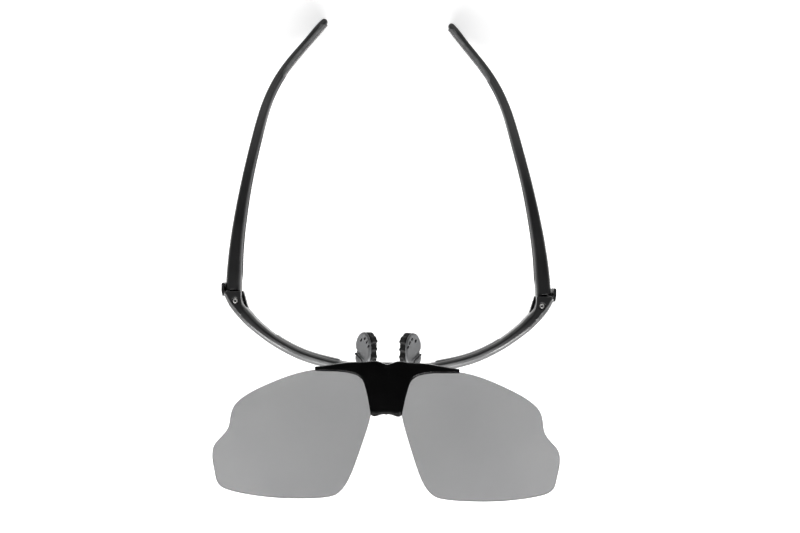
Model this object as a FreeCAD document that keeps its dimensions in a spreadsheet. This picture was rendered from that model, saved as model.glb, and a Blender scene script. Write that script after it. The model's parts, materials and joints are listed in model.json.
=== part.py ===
"""Flip-up protective eyewear of a loupes set: a wrap frame with two folding temples and a
hinged carrier with two rimless lenses.

Frame of the model, in millimetres: +X to the right seen from above, +Y from the brow towards
the temple tips, +Z up. The origin is under the middle of the object, on the surface it stands
on. Names ending in left are on the -X side. At rest the temples are open and the carrier is
flipped up, level.
"""
import FreeCAD, Part
import math
import os
import re

import Sketcher

Vector = FreeCAD.Vector
Z_AXIS = Vector(0, 0, 1)

DIMENSIONS = [
    # alias, value in mm or degrees, what it is
    ("hinge_half_span", 63.9, "temple screw to the middle plane"),
    ("hinge_y", -20.8, "temple screws, fore and aft"),
    ("hinge_height", 22.0, "middle of the temple hinge above the surface"),
    ("flip_y", -46.6, "axis of the flip hinge, fore and aft"),
    ("flip_height", 33.2, "axis of the flip hinge above the surface"),
    ("ear_height", 10.0, "height of the forked ears of the bar"),
    ("ear_round", 4.15, "round end of an ear about its screw"),
    ("shoulder_round", 4.4, "hollow shoulder of a temple about its screw"),
    ("shoulder_back", 4.8, "flat part of the shoulder behind the screw"),
    ("tongue_round", 2.6, "round end of the temple tongue"),
    ("tongue_height", 3.2, "height of the temple tongue"),
    ("slot_round", 2.8, "slot of the ear about its screw"),
    ("slot_height", 3.4, "height of the slot in the ear"),
    ("screw_shank", 0.7, "radius of a hinge screw's shank"),
    ("screw_bore", 0.75, "radius of the hole a hinge screw turns in"),
    ("screw_head", 1.15, "radius of a hinge screw's head"),
    ("screw_head_height", 0.9, "height of a hinge screw's head"),
    ("head_recess", 1.3, "radius of the recess around the head"),
    ("head_recess_depth", 1.0, "depth of the recess around the head"),
    ("socket_size", 0.5, "radius across corners of the hexagon socket"),
    ("insert_radius", 1.4, "outside radius of a threaded insert"),
    ("insert_length", 2.6, "length of a threaded insert"),
    ("bar_half_thickness", 2.5, "half the thickness of the bar at its middle"),
    ("bar_half_height", 4.0, "half the height of the bar at its middle"),
    ("bar_arch", 4.0, "how far the bar arches up between its ends"),
    ("top_seat_half", 11.0, "half the width of the seat for the flip bracket"),
    ("low_seat_half", 7.5, "half the width of the seat for the nose clip"),
    ("seat_depth", 4.4, "fore and aft depth of both seats"),
    ("seat_thickness", 4.0, "thickness of the block under each seat"),
    ("lens_radius", 120.0, "spherical radius at the middle of the lens"),
    ("lens_thickness", 1.8, "thickness of a lens"),
    ("lens_apex_y", -73.0, "fore and aft place of the top of the sphere"),
    ("lens_apex_height", 44.5, "height of the top of the sphere"),
    ("layer_gap", 0.05, "gap between a lens and each clamping face"),
    ("cover_thickness", 1.7, "thickness of the lens bridge cover"),
    ("plate_thickness", 1.6, "thickness of the lens clamp plate"),
    ("knuckle_radius", 1.75, "outside radius of the flip hinge knuckles"),
    ("knuckle_bore", 0.8, "hole of the moving knuckles"),
    ("bracket_bore", 0.77, "hole of the fixed knuckle"),
    ("pin_radius", 0.75, "radius of the flip pin"),
    ("fixed_knuckle_half", 2.8, "half the width of the fixed knuckle"),
    ("moving_knuckle_inner", 3.25, "inner end of a moving knuckle"),
    ("moving_knuckle_outer", 8.0, "outer end of a moving knuckle"),
    ("bracket_thickness", 1.2, "thickness of the bracket's base"),
    ("small_screw", 0.6, "radius of the small screws' shanks"),
    ("small_screw_head", 1.1, "radius of the small screws' heads"),
    ("arm_radius", 0.5, "radius of a nose pad arm"),
    ("pad_tilt", 50.0, "slope of a nose pad from level, degrees"),
    ("shell_thickness", 1.6, "thickness of a nose pad's grey back"),
    ("pad_slot_width", 0.7, "width of the slots in a nose pad's back"),
    ("cushion_thickness", 3.2, "thickness of a nose pad's cushion"),
    ("core_radius", 0.55, "radius of the bendable core of a temple"),
    ("rest_turn", 1.8, "turn of each temple at rest from the drawn line, degrees"),
    ("tip_bend_left", 1.4, "inward bend of the left tip from the drawn line, degrees"),
    ("tip_bend_right", -1.1, "inward bend of the right tip from the drawn line, degrees"),
]

doc = FreeCAD.newDocument("FlipUpEyewear")
sheet = doc.addObject("Spreadsheet::Sheet", "Dimensions")
for number, (alias, value, meaning) in enumerate(DIMENSIONS, start=1):
    sheet.set("A%d" % number, meaning)
    sheet.set("B%d" % number, str(value))
    sheet.setAlias("B%d" % number, alias)
doc.recompute()

nodes = []


def size(alias):
    """Value of one driving dimension."""
    return float(getattr(sheet, alias))


def bind(item, **expressions):
    """Ties properties of an object to spreadsheet cells, named by their aliases."""
    for prop, expression in expressions.items():
        item.setExpression(prop, re.sub(r"[a-z]+(_[a-z]+)+", r"Dimensions.\g<0>", expression))
    return item


def finish_node(item, name):
    """Names an object as one sub-part of the finished eyewear."""
    item.Label = name
    nodes.append(item)
    return item


def shape_object(name, shape, placement=None):
    """A document object that holds a shape made by Part's functions."""
    item = doc.addObject("Part::Feature", name)
    item.Shape = shape
    if placement is not None:
        item.Placement = placement
    return item


def cylinder(name, radius, height, place, axis=Z_AXIS):
    """A cylinder whose sizes are expressions; place is the middle of its first end."""
    item = doc.addObject("Part::Cylinder", name)
    bind(item, Radius=radius, Height=height)
    item.Placement = FreeCAD.Placement(place, FreeCAD.Rotation(Z_AXIS, axis))
    return item


def box(name, length, width, height, place):
    """A box whose sizes are expressions; place is its lowest corner."""
    item = doc.addObject("Part::Box", name)
    bind(item, Length=length, Width=width, Height=height)
    item.Placement = FreeCAD.Placement(place, FreeCAD.Rotation())
    return item


def fuse(name, items):
    """One solid made of several."""
    result = doc.addObject("Part::MultiFuse", name)
    result.Shapes = items
    result.Refine = True
    return result


def cut(name, base, tool):
    """Base with the tool taken away."""
    result = doc.addObject("Part::Cut", name)
    result.Base = base
    result.Tool = tool
    return result


def common(name, base, tool):
    """What two solids share."""
    result = doc.addObject("Part::Common", name)
    result.Base = base
    result.Tool = tool
    return result


def side_name(side):
    """Name of a side: -1 is left and +1 is right in the plan."""
    return "left" if side < 0 else "right"


def spline_wire(points, pieces=1):
    """A smooth closed wire through points, of one edge or of several equal pieces."""
    curve = Part.BSplineCurve()
    curve.interpolate(Points=points, PeriodicFlag=True)
    start, stop = curve.FirstParameter, curve.LastParameter
    marks = [start + (stop - start) * step / pieces for step in range(pieces + 1)]
    return Part.Wire([curve.toShape(low, high) for low, high in zip(marks, marks[1:])])


# ---------------------------------------------------------------- sections and sweeps


def section(centre, outward, half_thickness, half_height, squareness, crown=0.0):
    """A rounded upright section. The crown lowers the outward half of its top."""
    points = []
    count = 24
    for step in range(count):
        angle = 2 * math.pi * (step + 0.5) / count
        reach = math.copysign(abs(math.cos(angle)) ** (2 / squareness), math.cos(angle))
        lift = math.copysign(abs(math.sin(angle)) ** (2 / squareness), math.sin(angle))
        fall = crown * max(0.0, reach + 0.2) ** 2 * max(0.0, lift)
        points.append(centre + outward * (reach * half_thickness) + Z_AXIS * (lift * half_height - fall))
    return spline_wire(points)


def plan_normal(curve, parameter, side):
    """Level direction at right angles to a curve, away from the wearer's head."""
    along = curve.tangent(parameter)[0]
    normal = Vector(along.y, -along.x, 0)
    normal.normalize()
    return normal * side


# ---------------------------------------------------------------- brow bar


def bar_centre_curve():
    """Plan of the bar's middle line, from the left screw round to the right screw."""
    right_half = [(0, -48.4), (16, -47.1), (32, -42.9), (44.6, -36.9), (55.8, -29.3)]
    end = Vector(size("hinge_half_span") + 0.4, size("hinge_y") + 0.4, 0)
    right = [Vector(x, y, 0) for x, y in right_half] + [end]
    left = [Vector(-point.x, point.y, 0) for point in reversed(right[1:])]
    curve = Part.BSplineCurve()
    curve.interpolate(Points=left + right)
    return curve


def bar_rise(x):
    """Height of the bar's middle line above the temple hinge."""
    share = x / size("hinge_half_span")
    return size("bar_arch") * (1 - share * share)


def bar_body_shape():
    """The curved bar without its ears."""
    curve = bar_centre_curve()
    wires = []
    stations = 17
    for step in range(stations):
        share = step / (stations - 1)
        parameter = curve.FirstParameter + share * (curve.LastParameter - curve.FirstParameter)
        point = curve.value(parameter)
        end_share = (point.x / size("hinge_half_span")) ** 2
        centre = Vector(point.x, point.y, size("hinge_height") + bar_rise(point.x))
        thickness = size("bar_half_thickness") + 0.9 * end_share ** 3
        height = size("bar_half_height") + (size("ear_height") / 2 - size("bar_half_height")) * end_share
        outward = plan_normal(curve, parameter, 1)
        crown = 1.5 * (1 - end_share ** 3)
        wires.append(section(centre, outward, thickness, height, 3.6, crown))
    bar = Part.makeLoft(wires, True, False)
    return bar.cut([fold_room(-1), fold_room(1)])


def ear_outline(side):
    """Plan of an ear about its screw, with the stop tab outside the temple."""
    reach = size("ear_round")
    turn = math.radians(205)
    blend = (reach * math.cos(turn), reach * math.sin(turn))

    def place(outward, back):
        return Vector(side * outward, back, 0)

    outer = Part.BSplineCurve()
    outer.interpolate(Points=[place(-4.0, -9.2), place(-1.6, -6.9), place(1.7, -3.4), place(4.2, -0.3),
                              place(5.7, 2.2), place(6.1, 4.4)])
    rim = Part.Arc(place(0, reach), place(-reach * math.sin(0.9), reach * math.cos(0.9)), place(*blend))
    corners = [place(6.1, 4.4), place(6.0, 6.8), place(4.7, 6.8), place(4.7, 4.0), place(0.4, 4.0),
               place(0, reach)]
    edges = [outer.toShape()]
    for start, stop in zip(corners, corners[1:]):
        edges.append(Part.makeLine(start, stop))
    edges.append(rim.toShape())
    edges.append(Part.makeLine(place(*blend), place(-6.6, -5.0)))
    edges.append(Part.makeLine(place(-6.6, -5.0), place(-4.0, -9.2)))
    return Part.Wire(edges)


def ear_shape(side):
    """A solid ear before its slot and holes are cut."""
    base = Vector(side * size("hinge_half_span"), size("hinge_y"), size("hinge_height") - size("ear_height") / 2)
    face = Part.Face(ear_outline(side))
    face.translate(base)
    ear = face.extrude(Z_AXIS * size("ear_height"))
    rounded = [edge for edge in ear.Edges if is_level(edge)]
    return ear.makeFillet(0.6, rounded)


def fold_room(side):
    """Room beside an ear for the folded temple; the bar stops short of it."""
    plan = [(-3.9, -1.45), (-12.0, 0.85), (-12.0, 9.0), (7.0, 9.0), (7.0, 3.9), (0.0, 3.9)]
    points = [Vector(side * outward, back, 0) for outward, back in plan]
    room = Part.Face(Part.makePolygon(closed(points))).extrude(Z_AXIS * 20)
    room.translate(screw_place(side, -10))
    return room


def is_level(edge):
    """True where an edge lies in one level plane."""
    return edge.BoundBox.ZLength < 0.001


def screw_place(side, height):
    """A point on the axis of a temple screw, measured from the middle of the hinge."""
    return Vector(side * size("hinge_half_span"), size("hinge_y"), size("hinge_height") + height)


def slot_cutter(side):
    """Room for the temple tongue in an ear, open to the back and the inside."""
    name = side_name(side)
    half = size("slot_height") / 2
    turn = cylinder("slot_turn_" + name, "slot_round", "slot_height", screw_place(side, -half))
    reach = size("slot_round")
    back = box("slot_back_" + name, "10", "8", "slot_height", Vector())
    low_x = size("hinge_half_span") * side + (reach - 10 if side > 0 else -reach)
    back.Placement.Base = Vector(low_x, size("hinge_y"), size("hinge_height") - half)
    inner = box("slot_inner_" + name, "8", "slot_round", "slot_height", Vector())
    low_x = size("hinge_half_span") * side - (8 if side > 0 else 0)
    inner.Placement.Base = Vector(low_x, size("hinge_y") - reach, size("hinge_height") - half)
    return [turn, back, inner]


def ear_hole_cutters(side):
    """Screw hole, head recess and insert hole of one ear."""
    name = side_name(side)
    half = size("ear_height") / 2
    through = cylinder("ear_bore_" + name, "screw_bore", "ear_height", screw_place(side, -half))
    recess_depth = size("head_recess_depth")
    recess = cylinder("ear_recess_" + name, "head_recess", "head_recess_depth + bar_arch",
                      screw_place(side, half - recess_depth))
    pocket = cylinder("ear_pocket_" + name, "insert_radius + 0.01", "insert_length", screw_place(side, -half))
    return [through, recess, pocket]


def pair(half_spacing, y, z):
    """Two places in a row across the middle plane."""
    return [Vector(-half_spacing, y, z), Vector(half_spacing, y, z)]


BAR_TOP = 30.0
BAR_FLOOR = 22.0
SEAT_Y = -48.5
SEAT_FRONT = -50.6
BRACKET_SCREW_SPACING = 9.3
CLIP_SCREW_SPACING = 3.2


def seat_block(name, half_width, low):
    """Flat block across the middle of the bar."""
    corner = Vector(-size(half_width), SEAT_FRONT, low)
    return box(name, half_width + " * 2", "seat_depth", "seat_thickness", corner)


def seat_clearance(name, half_width, low):
    """Room over or under a seat, a little deeper than the bar."""
    corner = Vector(-size(half_width), SEAT_FRONT - 2.4, low)
    return box(name, half_width + " * 2", "seat_depth + 5.6", "seat_thickness", corner)


def make_brow_bar():
    """Bar with two forked ears, two flat seats in the middle and screw holes, one moulding."""
    body = shape_object("bar_body", bar_body_shape())
    ears = [shape_object("ear_" + side_name(side), ear_shape(side)) for side in (-1, 1)]
    thickness = size("seat_thickness")
    seats = [
        seat_block("top_seat", "top_seat_half", BAR_TOP - thickness),
        seat_block("low_seat", "low_seat_half", BAR_FLOOR),
    ]
    solid = fuse("bar_solid", [body] + seats + ears)
    cutters = []
    for side in (-1, 1):
        cutters += slot_cutter(side) + ear_hole_cutters(side)
    for index, place in enumerate(pair(BRACKET_SCREW_SPACING, SEAT_Y, BAR_TOP - 3.4)):
        cutters.append(cylinder("bracket_hole_%d" % index, "small_screw + 0.02", "8", place))
    for index, place in enumerate(pair(CLIP_SCREW_SPACING, SEAT_Y, BAR_FLOOR - 4)):
        cutters.append(cylinder("clip_hole_%d" % index, "small_screw + 0.02", "7.4", place))
    cutters.append(seat_clearance("above_seat", "top_seat_half", BAR_TOP))
    cutters.append(seat_clearance("below_seat", "low_seat_half", BAR_FLOOR - thickness))
    finish_node(cut("brow_bar", solid, fuse("bar_cutters", cutters)), "brow_bar")


# ---------------------------------------------------------------- temple hinge hardware


def origin_plane(body, role):
    """One of a body's own origin planes."""
    return [item for item in body.Origin.OriginFeatures if item.Role == role][0]


def new_sketch(body, name, role="XY_Plane", offset=0.0):
    """A sketch on one of the body's origin planes."""
    sketch = body.newObject("Sketcher::SketchObject", name)
    sketch.AttachmentSupport = [(origin_plane(body, role), "")]
    sketch.MapMode = "FlatFace"
    sketch.AttachmentOffset = FreeCAD.Placement(Vector(0, 0, offset), FreeCAD.Rotation())
    return sketch


def sketch_circle(sketch, radius, centre=Vector()):
    """A circle whose radius is an expression."""
    number = sketch.addGeometry(Part.Circle(centre, Z_AXIS, 1.0), False)
    rule = sketch.addConstraint(Sketcher.Constraint("Radius", number, 1.0))
    bind(sketch, **{"Constraints[%d]" % rule: radius})


def sketch_loop(sketch, points):
    """A closed loop of straight lines through fixed points."""
    for start, stop in zip(points, points[1:] + points[:1]):
        number = sketch.addGeometry(Part.LineSegment(Vector(*start, 0), Vector(*stop, 0)), False)
        sketch.addConstraint(Sketcher.Constraint("Block", number))


def pad(body, name, sketch, length):
    """Material pulled up from a sketch by a length expression."""
    feature = body.newObject("PartDesign::Pad", name)
    feature.Profile = sketch
    bind(feature, Length=length)
    body.Tip = feature


def pocket(body, name, sketch, length, downwards=True):
    """Material removed under a sketch by a length expression."""
    feature = body.newObject("PartDesign::Pocket", name)
    feature.Profile = sketch
    feature.Reversed = not downwards
    bind(feature, Length=length)
    body.Tip = feature


def hexagon(radius):
    """Corners of a hexagon about the origin."""
    corners = []
    for step in range(6):
        angle = math.radians(60 * step)
        corners.append((radius * math.cos(angle), radius * math.sin(angle)))
    return corners


def make_hinge_screw(side):
    """Cap screw that is the pin of a temple hinge; its origin is under its head."""
    name = "hinge_screw_" + side_name(side)
    body = doc.addObject("PartDesign::Body", name)
    shank = new_sketch(body, "shank_" + name, offset=-size("ear_height") + size("head_recess_depth") + 0.6)
    sketch_circle(shank, "screw_shank")
    pad(body, "shank_pad_" + name, shank, "ear_height - head_recess_depth - 0.6")
    head = new_sketch(body, "head_" + name)
    sketch_circle(head, "screw_head")
    pad(body, "head_pad_" + name, head, "screw_head_height")
    socket = new_sketch(body, "socket_" + name, offset=size("screw_head_height"))
    sketch_loop(socket, hexagon(size("socket_size")))
    pocket(body, "socket_pocket_" + name, socket, "screw_head_height * 0.7")
    under_head = size("ear_height") / 2 - size("head_recess_depth")
    body.Placement = FreeCAD.Placement(screw_place(side, under_head), FreeCAD.Rotation())
    finish_node(body, name)


def make_threaded_insert(side):
    """Brass bush in the lower ear that takes the screw's thread."""
    name = "threaded_insert_" + side_name(side)
    body = doc.addObject("PartDesign::Body", name)
    ring = new_sketch(body, "ring_" + name)
    sketch_circle(ring, "insert_radius")
    sketch_circle(ring, "screw_shank + 0.02")
    pad(body, "ring_pad_" + name, ring, "insert_length")
    body.Placement = FreeCAD.Placement(screw_place(side, -size("ear_height") / 2), FreeCAD.Rotation())
    finish_node(body, name)


# ---------------------------------------------------------------- temples

# Line of a temple behind its screw: distance back, distance inwards, height of its middle
# against the hinge, thickness, height.
TEMPLE_STATIONS = [
    (2.5, -1.1, 0.0, 6.4, 9.4),
    (10.0, -0.8, 0.0, 6.2, 9.4),
    (20.0, -0.1, 0.0, 5.5, 9.0),
    (35.0, 1.9, -0.5, 4.7, 8.2),
    (51.8, 4.9, -2.4, 4.0, 7.2),
    (69.2, 8.7, -6.2, 3.8, 6.5),
    (86.8, 13.4, -11.6, 3.4, 6.2),
    (95.7, 17.4, -14.4, 3.3, 6.1),
    (104.6, 23.2, -16.8, 3.2, 6.0),
    (113.6, 30.3, -18.3, 3.1, 5.8),
    (120.8, 36.0, -19.1, 2.9, 5.2),
]
CORE_STATIONS = TEMPLE_STATIONS[6:]
PAD_STATIONS = TEMPLE_STATIONS[7:]
BEND_START = TEMPLE_STATIONS[5]


def bent_point(side, back, inward, rise):
    """A point of a temple's line, with the tip bent in or out from the drawn line."""
    bend = size("tip_bend_" + side_name(side))
    from_back, from_inward = BEND_START[:2]
    share = max(0.0, back - from_back) / (TEMPLE_STATIONS[-1][0] - from_back)
    turned = FreeCAD.Rotation(Z_AXIS, bend * share) * Vector(back - from_back, inward - from_inward, 0)
    return Vector(-side * (from_inward + turned.y), from_back + turned.x, rise)


def temple_loft(side, stations, half_thickness, half_height, shift=0.0, squareness=3.6, end_round=0.0):
    """A bar that follows a temple's line. The two sizes are functions of a station."""
    centres = [bent_point(side, *station[:3]) for station in TEMPLE_STATIONS]
    curve = Part.BSplineCurve()
    curve.interpolate(Points=centres)
    wires = []
    for station in stations:
        centre = centres[TEMPLE_STATIONS.index(station)]
        parameter = curve.parameter(centre)
        outward = plan_normal(curve, parameter, side)
        middle = centre + outward * shift
        wires.append(section(middle, outward, half_thickness(station), half_height(station), squareness))
    if end_round:
        ahead = curve.tangent(parameter)[0]
        for share in (0.5, 0.8, 0.96):
            left = math.sqrt(1 - share * share)
            wires.append(section(middle + ahead * (end_round * share), outward, half_thickness(station) * left,
                                 half_height(station) * left, squareness))
    return Part.makeLoft(wires, True, False)


def temple_arm_shape(side):
    """The curved arm of a temple with a rounded tip, before its hinge is cut."""
    return temple_loft(side, TEMPLE_STATIONS, lambda row: row[3] / 2, lambda row: row[4] / 2, end_round=1.7)


def core_shape(side):
    """Flat bendable core that lies in the inner face of the tip, under the rubber."""
    radius = size("core_radius")
    return temple_loft(side, CORE_STATIONS, lambda row: radius, lambda row: radius * 1.6, -1.3, 2.4)


def tip_pad_shape(side):
    """Rubber pad along the inner face of the tip, running into the arm."""
    return temple_loft(side, PAD_STATIONS, lambda row: 1.0, lambda row: row[4] / 2 - 0.7, -1.25, 3.0)


def temple_placement(side):
    """A temple's place at rest: its screw on the hinge, turned as it stands open."""
    turn = FreeCAD.Rotation(Z_AXIS, size("rest_turn"))
    return FreeCAD.Placement(screw_place(side, 0), turn)


def make_temple(side):
    """One arm with its tongue, its core and its rubber pad."""
    name = side_name(side)
    arm = shape_object("arm_" + name, temple_arm_shape(side))
    core = shape_object("temple_core_" + name, core_shape(side))
    core_room = shape_object("core_room_" + name, core_shape(side))
    rubber = shape_object("rubber_" + name, tip_pad_shape(side))
    half = size("tongue_height") / 2
    hollow = cylinder("hollow_" + name, "shoulder_round", "ear_height + 4", Vector(0, 0, -7))
    flat = box("flat_" + name, "9", "shoulder_back", "ear_height + 4", Vector(-9 if side < 0 else 0, 0, -7))
    clipped = cut("clipped_" + name, arm, fuse("shoulder_cutter_" + name, [hollow, flat, core_room]))
    disc = cylinder("disc_" + name, "tongue_round", "tongue_height", Vector(0, 0, -half))
    neck_low = -2.0 if side > 0 else -2.6
    neck = box("neck_" + name, "4.6", "9", "tongue_height", Vector(neck_low, 0, -half))
    solid = fuse("temple_solid_" + name, [clipped, disc, neck])
    bore = cylinder("tongue_bore_" + name, "screw_bore", "tongue_height + 2", Vector(0, 0, -half - 1))
    temple = cut("temple_" + name, solid, bore)
    around = fuse("around_rubber_" + name, [arm, core_room])
    tip = cut("tip_pad_" + name, rubber, around)
    for item in (temple, core, tip):
        item.Placement = temple_placement(side)
    finish_node(temple, "temple_" + name)
    finish_node(core, "temple_core_" + name)
    finish_node(tip, "tip_pad_" + name)


# ---------------------------------------------------------------- nose pads


def rounded_path(points):
    """Straight runs joined by tangent arcs as large as the runs allow."""
    edges = []
    start = points[0]
    for before, corner, after in zip(points, points[1:], points[2:]):
        back = (before - corner).normalize()
        ahead = (after - corner).normalize()
        reach = 0.45 * min((before - corner).Length, (after - corner).Length)
        first = corner + back * reach
        last = corner + ahead * reach
        half_turn = (math.pi - back.getAngle(ahead)) / 2
        radius = reach / math.tan(half_turn)
        bisector = (back + ahead).normalize()
        middle = corner + bisector * (radius / math.cos(half_turn) - radius)
        edges.append(Part.makeLine(start, first))
        edges.append(Part.Arc(first, middle, last).toShape())
        start = last
    edges.append(Part.makeLine(start, points[-1]))
    return Part.Wire(edges)


def tube_along(points, radius):
    """A round bar along a path of runs and arcs."""
    path = rounded_path(points)
    heading = points[1] - points[0]
    profile = Part.Wire([Part.makeCircle(radius, points[0], heading)])
    return path.makePipeShell([profile], True, True)


PAD_MIDDLE = Vector(11.55, -41.0, 6.83)
ARM_ROUTE = [(5.0, -48.5, 20.0), (9.2, -48.5, 20.0), (11.2, -48.3, 15.6), (11.3, -47.6, 10.4),
             (11.4, -46.2, 7.2), (14.2, -43.4, 3.9)]
SHELL_OUTLINE = [(-1.5, 7.0), (1.2, 6.6), (3.2, 4.9), (4.4, 2.4), (4.45, 0.3), (3.8, -1.1), (4.6, -2.6),
                 (4.7, -5.0), (3.4, -7.0), (0.8, -7.8), (-2.0, -7.2), (-3.9, -5.0), (-4.5, -2.0),
                 (-4.5, 1.5), (-3.8, 4.6)]
# Middle of each slot, outwards and back, and its length; the slots of both pads lean the same way.
SLOT_PLACES = [(-1.0, 4.1, 1.5), (-2.6, 2.9, 1.7), (-3.5, 1.2, 1.6), (2.3, 3.3, 1.3)]
SLOT_LEAN = FreeCAD.Rotation(Z_AXIS, -28)
RIB_PITCH = 3.4


def arm_points(side):
    """Route of a nose pad arm from its clip to the back of its pad."""
    return [Vector(side * x, y, z) for x, y, z in ARM_ROUTE]


def pad_placement(side):
    """A nose pad leans outwards at its lower edge."""
    middle = Vector(side * PAD_MIDDLE.x, PAD_MIDDLE.y, PAD_MIDDLE.z)
    return FreeCAD.Placement(middle, FreeCAD.Rotation(Vector(0, side, 0), size("pad_tilt")))


def cushion_outline():
    """Outline of the cushion: the shell's outline with a ribbed inner edge."""
    outer = SHELL_OUTLINE[:11]
    ribs = []
    for step in range(9):
        back = -5.2 + step * RIB_PITCH / 3 * 1.05
        ribs.append((-4.5 - 0.3 * math.cos(2 * math.pi * back / RIB_PITCH), back))
    return outer + ribs + [(-3.6, 5.4)]


def flat_slab(side, outline, top, thickness):
    """A plate of a nose pad; its outline is drawn for the right-hand pad."""
    points = [Vector(side * across, back, top) for across, back in outline]
    return Part.Face(spline_wire(points)).extrude(Z_AXIS * -thickness)


def make_nose_pad(side):
    """Wire arm, grey back with slots, and black ribbed cushion."""
    name = side_name(side)
    arm = shape_object("nose_pad_arm_" + name, tube_along(arm_points(side), size("arm_radius")))
    groove = shape_object("arm_groove_" + name, tube_along(arm_points(side), size("arm_radius") + 0.03))
    thickness = size("shell_thickness")
    slab = shape_object("shell_slab_" + name, flat_slab(side, SHELL_OUTLINE, 0, thickness), pad_placement(side))
    cutters = [groove]
    for index, (across, back, length) in enumerate(SLOT_PLACES):
        slot = box("pad_slot_%s_%d" % (name, index), "pad_slot_width", str(length), "shell_thickness + 2",
                   Vector())
        middle = FreeCAD.Placement(Vector(side * across, back, -thickness - 1), SLOT_LEAN)
        centring = FreeCAD.Placement(Vector(-size("pad_slot_width") / 2, -length / 2, 0), FreeCAD.Rotation())
        slot.Placement = pad_placement(side).multiply(middle).multiply(centring)
        cutters.append(slot)
    shell = cut("nose_pad_shell_" + name, slab, fuse("shell_cutters_" + name, cutters))
    cushion_slab = shape_object("cushion_slab_" + name,
                                flat_slab(side, cushion_outline(), -thickness, size("cushion_thickness")),
                                pad_placement(side))
    cushion = cut("nose_pad_cushion_" + name, cushion_slab, groove)
    finish_node(arm, "nose_pad_arm_" + name)
    finish_node(shell, "nose_pad_shell_" + name)
    finish_node(cushion, "nose_pad_cushion_" + name)


def make_nose_clip():
    """Block under the bar that holds both arms, with two screw holes from below."""
    body = doc.addObject("PartDesign::Body", "nose_clip")
    base = new_sketch(body, "clip_base")
    sketch_loop(base, [(-7, -2.2), (7, -2.2), (7, 2.2), (-7, 2.2)])
    pad(body, "clip_pad", base, "4")
    holes = new_sketch(body, "clip_holes", offset=4)
    for place in pair(CLIP_SCREW_SPACING, 0, 0):
        sketch_circle(holes, "small_screw + 0.02", place)
    pocket(body, "clip_pocket", holes, "6")
    heads = new_sketch(body, "clip_heads")
    for place in pair(CLIP_SCREW_SPACING, 0, 0):
        sketch_circle(heads, "small_screw_head + 0.05", place)
    pocket(body, "clip_head_pocket", heads, "0.8", False)
    sockets = new_sketch(body, "clip_arm_sockets", "YZ_Plane", -10)
    sketch_circle(sockets, "arm_radius + 0.02", Vector(0, 2.0, 0))
    pocket(body, "clip_socket_left", sockets, "5.2", False)
    mirrored = body.newObject("PartDesign::Mirrored", "clip_socket_right")
    mirrored.Originals = [body.getObject("clip_socket_left")]
    mirrored.MirrorPlane = (origin_plane(body, "YZ_Plane"), [""])
    body.Tip = mirrored
    body.Placement = FreeCAD.Placement(Vector(0, SEAT_Y, BAR_FLOOR - 4), FreeCAD.Rotation())
    finish_node(body, "nose_clip")


def make_screw_group(name, places, length, upwards):
    """Identical pan-head screws; each place is under its head, the shanks point up or down."""
    turn = FreeCAD.Rotation() if upwards else FreeCAD.Rotation(Vector(1, 0, 0), 180)
    screws = []
    for index, place in enumerate(places):
        label = "%s_%d" % (name, index)
        shank = cylinder("shank_" + label, "small_screw", length, Vector())
        head = cylinder("head_" + label, "small_screw_head", "0.6", Vector(0, 0, -0.6))
        slot = box("slot_" + label, "3", "0.35", "0.3", Vector(-1.5, -0.175, -0.6))
        screw = cut("screw_" + label, fuse("blank_" + label, [shank, head]), slot)
        screw.Placement = FreeCAD.Placement(place, turn)
        screws.append(screw)
    group = doc.addObject("Part::Compound", name)
    group.Links = screws
    finish_node(group, name)


# ---------------------------------------------------------------- flip hinge


def flip_point(x=0.0):
    """A point on the axis of the flip hinge."""
    return Vector(x, size("flip_y"), size("flip_height"))


def x_cylinder(name, radius, start, stop):
    """A cylinder along the flip axis between two distances from the middle plane."""
    return cylinder(name, radius, "%s" % (stop - start), flip_point(start), Vector(1, 0, 0))


def make_flip_bracket():
    """Base plate on the bar with the fixed middle knuckle."""
    half = size("fixed_knuckle_half")
    base = box("bracket_base", "21.6", "3.25", "bracket_thickness", Vector(-10.8, SEAT_FRONT, BAR_TOP))
    web = box("bracket_web", "fixed_knuckle_half * 2", "2.7", "3", Vector(-half, -47.6, BAR_TOP + 0.2))
    knuckle = x_cylinder("fixed_knuckle", "knuckle_radius", -half, half)
    bore = x_cylinder("fixed_bore", "bracket_bore", -half - 1, half + 1)
    cutters = [bore]
    for index, place in enumerate(pair(BRACKET_SCREW_SPACING, SEAT_Y, BAR_TOP - 1)):
        cutters.append(cylinder("base_hole_%d" % index, "small_screw + 0.02", "4", place))
    solid = fuse("bracket_solid", [base, web, knuckle])
    finish_node(cut("flip_bracket", solid, fuse("bracket_cutters", cutters)), "flip_bracket")


def make_detent_spring():
    """Leaf spring across the bracket, held by the bracket screws."""
    body = doc.addObject("PartDesign::Body", "detent_spring")
    leaf = new_sketch(body, "leaf")
    sketch_loop(leaf, [(-10.6, -0.85), (10.6, -0.85), (10.6, 0.85), (-10.6, 0.85)])
    for place in pair(BRACKET_SCREW_SPACING, 0, 0):
        sketch_circle(leaf, "small_screw + 0.02", place)
    pad(body, "leaf_pad", leaf, "0.2")
    place = Vector(0, SEAT_Y, BAR_TOP + size("bracket_thickness"))
    body.Placement = FreeCAD.Placement(place, FreeCAD.Rotation())
    finish_node(body, "detent_spring")


def make_flip_pin():
    """Pin through all the knuckles."""
    end = size("moving_knuckle_outer")
    finish_node(x_cylinder("flip_pin", "pin_radius", -end, end), "flip_pin")


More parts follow.
